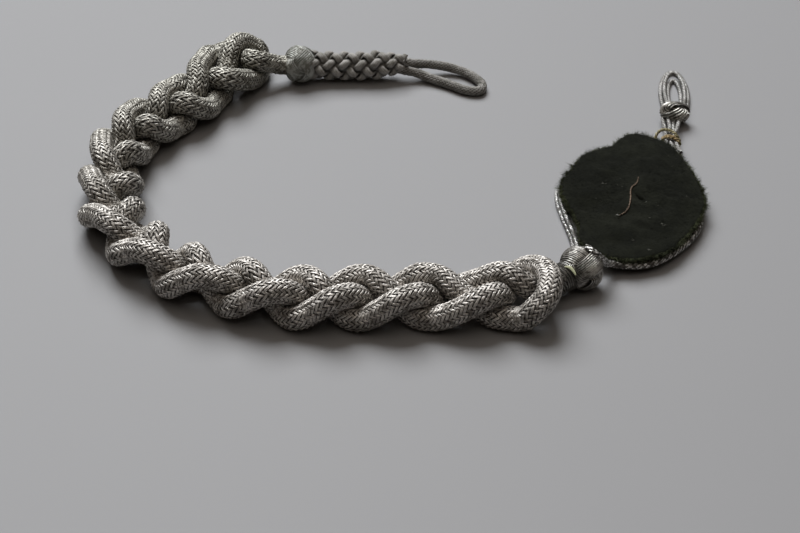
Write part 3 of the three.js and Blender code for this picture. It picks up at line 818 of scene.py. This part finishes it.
# The felt on the badge's back, cut by hand: direction in degrees and reach
feltOutline = [(0, 17.7), (25, 18.6), (49, 22.1), (64, 26.6), (74, 28.1), (83, 29.2), (91, 26.8), (99, 23.0),
               (117, 21.8), (138, 19.0), (160, 18.2), (180, 17.5), (199, 16.9), (220, 18.9), (236, 25.6),
               (247, 27.4), (259, 28.0), (272, 27.2), (285, 25.0), (300, 21.6), (320, 19.0), (340, 18.2),
               (360, 17.7)]
felt = {"centre": (59.4, -11.0), "lift": 3.3, "thick": 1.4, "crown": 1.0, "rings": 60, "segments": 300,
        "ragged": 0.13, "fibres": 13000, "edgeFibres": 14000, "fibreLength": 1.5, "edgeLength": 1.25,
        "fibreWidth": 0.05, "flat": (0.0362, 0.0564),
        # The cut edge and the underside: out from the edge, share of the thickness
        "under": ((0.25, 0.68), (0.3, 0.35), (0.1, 0.05), (-0.6, 0.0), (-5, 0.0), (-11, 0.0)),
        "wool": ((0.0012, 0.0015, 0.0009), (0.0072, 0.0078, 0.0048), (0.0105, 0.0115, 0.007)),
        "frayed": ((0.009, 0.011, 0.0063), (0.086, 0.096, 0.052), (0.108, 0.119, 0.067))}
# Slit in the felt, dark with painted shade: place, half length, half width, direction in degrees
slit = {"x": 61.0, "y": -13.6, "long": 1.0, "wide": 0.32, "turn": -35, "deep": 0.9,
        "colour": (0.0006, 0.0006, 0.0005)}


def feltEdge(turns):
    rows = np.array(feltOutline, float)
    a = np.radians(rows[:, 0])
    flat = np.stack([rows[:, 1] * np.cos(a), rows[:, 1] * np.sin(a)], 1)
    closed = np.vstack([flat[-3:-1], flat, flat[1:3]])
    line = curveThrough(closed, 16)[32:-32]
    places = np.degrees(np.unwrap(np.arctan2(line[:, 1], line[:, 0])))
    return np.stack([np.interp(turns, places, line[:, k], period=360) for k in range(2)], -1)


# Smooth random height over the plane, from waves in many directions
def ripples(x, y, size, seed, count=24):
    rng = np.random.default_rng(seed)
    total = 0
    for _ in range(count):
        a, phase = rng.uniform(0, 2 * np.pi, 2)
        k = 2 * np.pi / (size * rng.uniform(0.7, 1.6))
        total = total + np.sin(k * (x * math.cos(a) + y * math.sin(a)) + phase)
    return total / math.sqrt(count / 2)


def inSlit(x, y):
    a = math.radians(slit["turn"])
    u = (x - slit["x"]) * math.cos(a) + (y - slit["y"]) * math.sin(a)
    v = (y - slit["y"]) * math.cos(a) - (x - slit["x"]) * math.sin(a)
    return np.exp(-(u / slit["long"]) ** 2 - (v / slit["wide"]) ** 2)


# Height of the felt's top over a point of the surface
def feltTop(x, y):
    x, y = np.asarray(x, float), np.asarray(y, float)
    dx, dy = x - felt["centre"][0], y - felt["centre"][1]
    edge = feltEdge(np.degrees(np.arctan2(dy, dx)) % 360)
    share = np.minimum(np.hypot(dx, dy) / np.linalg.norm(edge, axis=-1), 1)
    height = felt["lift"] + felt["thick"] + felt["crown"] * (1 - share ** 2.5)
    height = height + (0.26 * ripples(x, y, 12, 20) + 0.09 * ripples(x, y, 4.5, 21)) * (1 - share ** 6)
    return height + 0.02 * ripples(x, y, 1.3, 22) - slit["deep"] * inSlit(x, y)


def feltMaterial(name, low, high, tuft):
    material, tree, shader = newMaterial(name, 0.95, 0.0)
    matted = addCloud(tree, 1500.0, 6.0, 0.7)
    worn = addCloud(tree, 110.0, 5.0, 0.6)
    wool = addRamp(tree, worn, (0.42, low), (0.6, high))
    woolly = mixColours(tree, maths(tree, "MULTIPLY", matted, 0.6), wool, tuft)
    # Inside the slit the colour is painted shade
    slitShade = addNode(tree, "ShaderNodeAttribute", attribute_name="depth")
    colour = mixColours(tree, slitShade.outputs["Fac"], woolly, slit["colour"])
    for socket, value in (("Base Color", colour), ("Sheen Weight", 0.08), ("Sheen Roughness", 0.5),
                          ("Sheen Tint", (0.4, 0.42, 0.3)), ("Specular IOR Level", 0.12)):
        put(tree, shader.inputs[socket], value)
    addBump(tree, shader, matted, 0.0003, 0.8)
    return material


# Many loose fibres as thin bent ribbons
def fibres(name, root, heading, length, width, material, rng, curl=0.45, limit=None):
    count = len(root)
    steps = np.linspace(0, 1, 4)
    side = unit(np.cross(heading, rng.normal(0, 1, heading.shape)))
    bend = unit(rng.normal(0, 1, heading.shape)) * curl
    middle = (root[:, None] + heading[:, None] * (steps * length[:, None])[..., None]
              + bend[:, None] * (steps ** 2 * length[:, None])[..., None])
    if limit is not None:
        middle = limit(middle)
    wide = width * (1 - 0.75 * steps)[None, :, None] / 2
    points = np.stack([middle - side[:, None] * wide, middle + side[:, None] * wide], 2).reshape(-1, 3)
    index = np.arange(len(points)).reshape(count, 4, 2)
    faces = np.stack([index[:, :-1, 0], index[:, :-1, 1], index[:, 1:, 1], index[:, 1:, 0]], -1)
    return meshObject(name, points, faces.reshape(-1, 4), material)


def makeFelt():
    rings, segments = felt["rings"], felt["segments"]
    turns = 360 * np.arange(segments) / segments
    edge = feltEdge(turns)
    x, y = 19 * np.cos(np.radians(turns)), 19 * np.sin(np.radians(turns))
    rough = (ripples(x, y, 3.5, 8) * 0.8 + ripples(x, y, 1.5, 9)) * felt["ragged"]
    way = unit(edge)
    edge = edge + way * rough[:, None]
    columns = []
    for k in np.linspace(0.0004, 1, rings + 1) ** 0.8:
        x, y = (felt["centre"] + edge * k).T
        columns.append(np.stack([x, y, feltTop(x, y) - (0.25 if k == 1 else 0)], 1))
    for out, z in felt["under"]:
        flat = felt["centre"] + edge + way * out
        columns.append(np.column_stack([flat, felt["lift"] + felt["thick"] * z + 0 * turns]))
    columns.append(np.column_stack([felt["centre"] + edge * 0.01, felt["lift"] + 0 * turns]))
    points = np.stack(columns)[:, ::-1]
    # How far each point lies in the slit, which is painted as shade
    slitShade = inSlit(points[..., 0], points[..., 1])
    pile = Pile().grid(points, np.linspace(0, 1, segments), np.arange(len(points)), slitShade, closed=True)
    wool = feltMaterial("dark green wool felt", *felt["wool"])
    frayed = feltMaterial("frayed felt edge", *felt["frayed"])
    sheet = pile.make("felt_sheet", wool)

    rng = np.random.default_rng(40)
    count, rim = felt["fibres"], felt["edgeFibres"]
    reach = np.sqrt(rng.uniform(0, 0.995, count))
    x, y = (felt["centre"] + feltEdge(rng.uniform(0, 360, count)) * reach[:, None]).T
    heading = rng.normal(0, 1, (count, 3)) * (1, 1, 0.35)
    heading[:, 2] = np.abs(heading[:, 2]) * 0.5
    low = feltTop(x, y)

    def onTop(middle):
        middle[..., 2] = np.clip(middle[..., 2], low[:, None] - 0.03, low[:, None] + 0.3)
        return middle

    length = felt["fibreLength"] * rng.uniform(0.3, 1.0, count)
    root = np.stack([x, y, low - 0.05], 1)
    nap = fibres("felt_nap", root, unit(heading), length, felt["fibreWidth"], wool, rng, limit=onTop)
    angle = rng.uniform(0, 360, rim)
    place = np.interp(angle, turns, np.arange(segments), period=360).astype(int) % segments
    start = feltEdge(angle) + way[place] * (rough[place] + rng.uniform(-0.3, 0.2, rim))[:, None]
    start = felt["centre"] + start
    root = np.column_stack([start, felt["lift"] + felt["thick"] * rng.uniform(0.1, 0.95, rim)])
    clump = ripples(*start.T, 0.9, 41)[:, None]
    heading = np.column_stack([way[place] * (1.1 + 0.4 * clump), 0.15 + 0 * angle])
    heading = heading + rng.normal(0, 0.55, (rim, 3))
    length = felt["edgeLength"] * rng.uniform(0.25, 1.0, rim) * np.clip(0.75 + 0.35 * clump[:, 0], 0.2, 1.5)
    fuzz = fibres("felt_fuzz", root, unit(heading), length, felt["fibreWidth"] * 2.2, frayed, rng)
    x, y = feltEdge(np.arange(0, 360, 1.0)).T
    keep(sheet, "felt", "felt_backing")
    keep(nap, "felt")
    keep(fuzz, "felt")


makeFelt()
report("felt")


# The badge's bare base under the felt: a pressed board with a soft edge and a seam round its middle, its
# near-black colour painted shade under the badge
# Rows: share of the way to the edge, height
base = {"share": 0.96,
        "rows": ((0.02, 0.0), (0.6, 0.0), (0.95, 0.0), (0.985, 0.2), (1, 0.6), (1, 1.15), (0.985, 1.35),
                 (0.985, 1.5), (1, 1.7), (1.005, 2.3), (0.99, 2.8), (0.96, 3.1), (0.6, 3.2), (0.02, 3.2)),
        "low": (0.018, 0.016, 0.013), "high": (0.05, 0.045, 0.036)}


def makeBase():
    material = cloudyMaterial("dark board painted as shade", base["low"], base["high"], 0.8, 700.0, 5.0, 0.7,
                              relief=0.2)
    turns = np.arange(0, 360, 2.0)
    edge = feltEdge(turns) * base["share"]
    rows = [np.column_stack([felt["centre"] + edge * k, 0 * turns + z]) for k, z in base["rows"]]
    pile = Pile().grid(np.stack(rows), turns / 360, np.arange(len(rows)), closed=True)
    keep(pile.make("badge_base_board", material), "badge_front", "badge_base")


makeBase()


# Threads on the felt and round the cords
threads = {
    "stitch": {"thick": 0.44, "lay": 1.5, "loose": ((0, 0.25, 0.5, 0.8, 1), (0.45, 0.8, 1.2, 1.05, 0.8)),
               "bright": (0.37, 0.255, 0.17), "dark": (0.12, 0.075, 0.05), "above": 0.26,
               "points": [(61.4, -5.1), (60.6, -8.1), (59, -10.6), (58.5, -14.5), (57.7, -18.4),
                          (56.7, -20.1), (55, -21.5)],
               "tip": ((-0.7, -0.5, 0.1), 0.8, 8)},  # heading, length and count of its frayed strands
    "gold": {"thick": 0.95, "lay": 1.9, "bright": (0.80, 0.62, 0.34), "dark": (0.40, 0.28, 0.12)},
    "straw": {"thick": 1.0, "lay": 1.9, "bright": (0.58, 0.51, 0.29), "dark": (0.29, 0.25, 0.12)},
    "lint": {"count": 26, "long": 1.0, "wide": 0.07, "colour": (0.42, 0.42, 0.36)},
}
# Strands of pale lint: place on the felt
lintPlaces = [(51.8, -7.1), (51.1, -15.7), (65.2, -25.3), (66, -25.9), (57.9, -31.8), (60.8, -36.4),
              (62.2, -15.7)]
# Straw-coloured arc and golden wraps where the legs meet the badge: x, y, z
strawRoute = [(72.6, 17.0, 0.7), (69.6, 18.6, 0.8), (68.6, 20.1, 1.6), (69.2, 21.2, 2.6), (70.3, 21.6, 3.3),
              (71.5, 20.9, 3.8), (72.6, 19.4, 4.3), (73.7, 17.8, 4.1), (74.6, 16.4, 2.6), (74.2, 16.0, 0.9)]
goldWraps = {"centre": (72.3, 17.3, 2.3), "wide": 2.1, "high": 1.6, "turns": 2.3,
             "start": 2.2, "rise": -1.35, "lean": -0.42}
# Pale flake of straw on the badge knot
flakeRoute = [(39.6, -47.4, 8.5), (40.4, -47.9, 8.9), (41.1, -48.5, 8.9), (41.8, -49.6, 8.5),
              (42.1, -50.3, 8.2)]
flake = {"wide": 0.84, "across": (0.45, 0.55, 0.25), "colours": ((0.50, 0.50, 0.33), (0.22, 0.23, 0.12))}

# Pale frayed strands where legs run under the felt and thin cords end: place, heading, length, count
tufts = [((72.4, 13.3, 3.4), (0.32, -0.94, 0.1), 3.4, 26), ((41.9, -6.0, 3.0), (0.75, -0.6, 0.3), 1.5, 14),
         ((42.9, -7.6, 3.2), (0.7, -0.7, 0.3), 1.3, 12), ((44.9, -41.8, 10.1), (-0.3, 0.8, -0.5), 0.9, 14)]


def makeThread(name, words, look, line, *nodes, loose=1.0):
    material = wireMaterial(words, look["bright"], look["dark"], 3, 0.05, roughness=0.7, metallic=0.0,
                            patch=0.002, speckle=0.25)
    keep(twisted(line, look, loose).make(name, material), "binding", *nodes)


def makeThreads():
    stitch = threads["stitch"]
    flat = np.array(stitch["points"])
    line = smoothLine(np.column_stack([flat, feltTop(*flat.T) + stitch["above"]]), 0.25)
    line[:, 2] = feltTop(*line[:, :2].T) + stitch["above"]
    loose = np.interp(np.linspace(0, 1, len(line)), *stitch["loose"])
    makeThread("felt_stitch", "brown thread", stitch, line, loose=loose)
    tip = (tuple(line[-1]), *stitch["tip"])
    makeThread("binding_straw", "straw thread", threads["straw"], smoothLine(strawRoute, 0.25),
               "binding_thread_1")
    share = np.linspace(0, 1, 110)
    t = 2 * np.pi * goldWraps["turns"] * share - goldWraps["start"]
    x = goldWraps["wide"] * np.cos(t)
    y = goldWraps["rise"] * (share - 0.5) + goldWraps["lean"] * x
    line = evenly(np.stack([x, y, goldWraps["high"] * np.sin(t)], 1) + goldWraps["centre"], 0.25)
    makeThread("binding_gold", "golden thread", threads["gold"], line, "binding_thread_2")

    rng = np.random.default_rng(77)
    look = threads["lint"]
    places = np.array(lintPlaces * 2)
    extra = feltEdge(rng.uniform(0, 360, look["count"])) * np.sqrt(rng.uniform(0, 0.9, (look["count"], 1)))
    places = np.vstack([places + rng.normal(0, 0.25, places.shape), extra + felt["centre"]])
    heading = unit(rng.normal(0, 1, (len(places), 3)) * (1, 1, 0.1))
    long = look["long"] * rng.uniform(0.2, 1.0, len(places))
    long *= np.where(np.arange(len(places)) < 2 * len(lintPlaces), 1.2, 0.45)
    material = cloudyMaterial("pale lint", look["colour"], tuple(c * 0.5 for c in look["colour"]), 0.7)
    root = np.column_stack([places, feltTop(*places.T) + 0.12])
    keep(fibres("felt_lint", root, heading, long, look["wide"], material, rng, 0.3), "felt")

    frayed = tufts + [tip]
    root = np.vstack([rng.normal(0, 0.1 * size + 0.1, (n, 3)) + at for at, _, size, n in frayed])
    heading = np.vstack([rng.normal(0, 0.22, (n, 3)) + way for _, way, _, n in frayed])
    long = np.concatenate([size * rng.uniform(0.5, 1.0, n) for _, _, size, n in frayed])
    material = cloudyMaterial("frayed silver", (0.62, 0.61, 0.56), (0.30, 0.29, 0.26), 0.45)
    keep(fibres("frayed_strands", root, unit(heading), long, 0.17, material, rng, 0.15), "wire_band")

    line = smoothLine(flakeRoute, 0.3)
    width = flake["wide"] / 2 * np.sin(np.linspace(0.5, np.pi - 0.5, len(line)))
    bow = np.linspace(-1, 1, 5)
    across = np.array(flake["across"])
    points = line[:, None] + bow[None, :, None] * width[:, None, None] * across / np.linalg.norm(across)
    points = points + (1 - bow ** 2)[None, :, None] * np.array([0, -0.12, 0.12])
    material = cloudyMaterial("pale straw flake", *flake["colours"], 0.6)
    keep(Pile().grid(points, bow, np.arange(len(line))).make("knot_flake", material), "binding")


makeThreads()


# Wires wound round the thick cord's neck, just before the badge knot
collar = {"first": 1.4, "last": 6.4, "wires": 11, "radius": 3.45, "thick": 0.5, "lean": 0.5, "lowest": 0.3}


def makeCollar():
    pile = Pile()
    turn = np.linspace(0, 2 * np.pi, 33)
    rng = np.random.default_rng(9)
    for s in np.linspace(collar["first"], collar["last"], collar["wires"]):
        radius = collar["radius"] - 0.12 * max(s - 3, 0) + rng.normal(0, 0.05)
        at = s + collar["lean"] * np.cos(turn + 0.6)
        up, side = readAt(at, thickAlong, thickUp), readAt(at, thickAlong, thickSide)
        line = readAt(at, thickAlong, thickLine) + around(turn, side, up) * radius
        line[:, 2] = np.maximum(line[:, 2], collar["lowest"])
        tube(pile, line, collar["thick"] / 2, 6)
    keep(pile.make("neck_wires", bandSilver), "wire_band")


makeCollar()
report("base, threads and collar")
